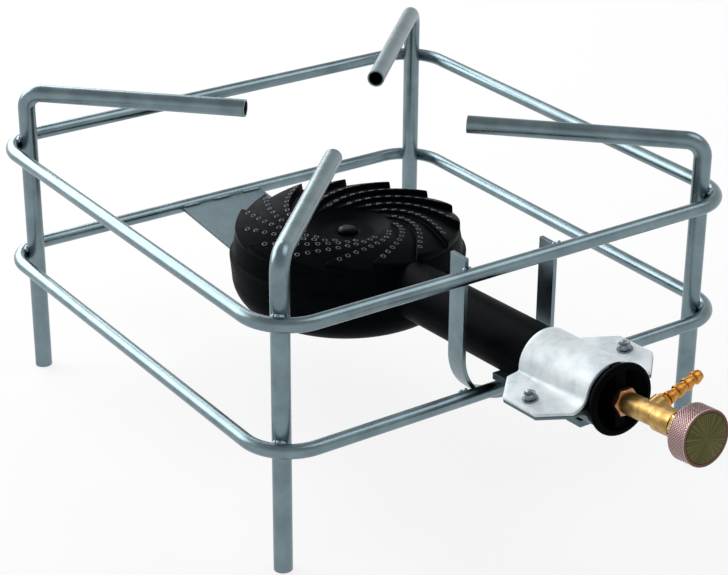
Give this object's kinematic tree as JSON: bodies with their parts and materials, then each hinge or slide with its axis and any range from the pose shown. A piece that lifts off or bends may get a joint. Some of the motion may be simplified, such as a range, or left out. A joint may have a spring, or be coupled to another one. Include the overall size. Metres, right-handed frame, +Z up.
{
  "type": "outdoor gas burner",
  "caption": "Low-pressure outdoor gas burner: cast bowl with spiral-toothed cap and mixing tube in a square galvanised stand with pot arms, clamp and brass needle valve.",
  "frame": {"origin": "on the ground, under the middle of the whole footprint from the back ring to the knob's face", "axes": "+Z up, +X to the right, -Y towards the valve and the user"},
  "size_m": [0.4, 0.586, 0.2345],
  "materials": {
    "galvanised": "galvanised, satin, bluish grey",
    "strap_steel": "dull zinc-plated sheet",
    "cast_iron": "black heat-proof paint, satin",
    "clamp_zinc": "bright zinc-plated sheet",
    "fastener_zinc": "bright zinc plate",
    "black_steel": "blackened steel",
    "brass": "turned brass",
    "copper": "turned copper alloy, pinkish",
    "knob_metal": "knurled, pinkish copper plate",
    "disc_metal": "dark olive bronze, radially brushed",
    "packing": "black graphite packing"
  },
  "bodies": {
    "burner": {"leg_front_left": "galvanised", "leg_front_right": "galvanised", "leg_back_left": "galvanised", "leg_back_right": "galvanised", "upper_ring": "galvanised", "lower_ring": "galvanised", "burner_cradle": "galvanised", "rear_support_strap": "strap_steel", "burner_body": "cast_iron", "burner_cap": "cast_iron", "burner_bolt": "black_steel", "burner_bolt_washer": "fastener_zinc", "burner_bolt_nut": "fastener_zinc", "clamp_saddle": "clamp_zinc", "clamp_base": "clamp_zinc", "clamp_screws": "fastener_zinc", "clamp_washers": "fastener_zinc", "clamp_nuts": "fastener_zinc", "valve_body": "brass", "valve_lock_nut": "copper", "jet": "brass", "hose_barb": "brass", "barb_seal": "copper", "gland_packing": "packing", "gland_nut": "brass"},
    "knob": {"valve_spindle": "fastener_zinc", "knob": "knob_metal", "knob_disc": "disc_metal", "knob_screw": "fastener_zinc"}
  },
  "joints": [
    {"name": "valve_turn", "type": "hinge", "parent": "burner", "child": "knob", "pos_m": [-0.003, -0.27314, 0.13981], "axis": [0, -0.9942, 0.1071], "range_deg": [0, 630]}
  ]
}
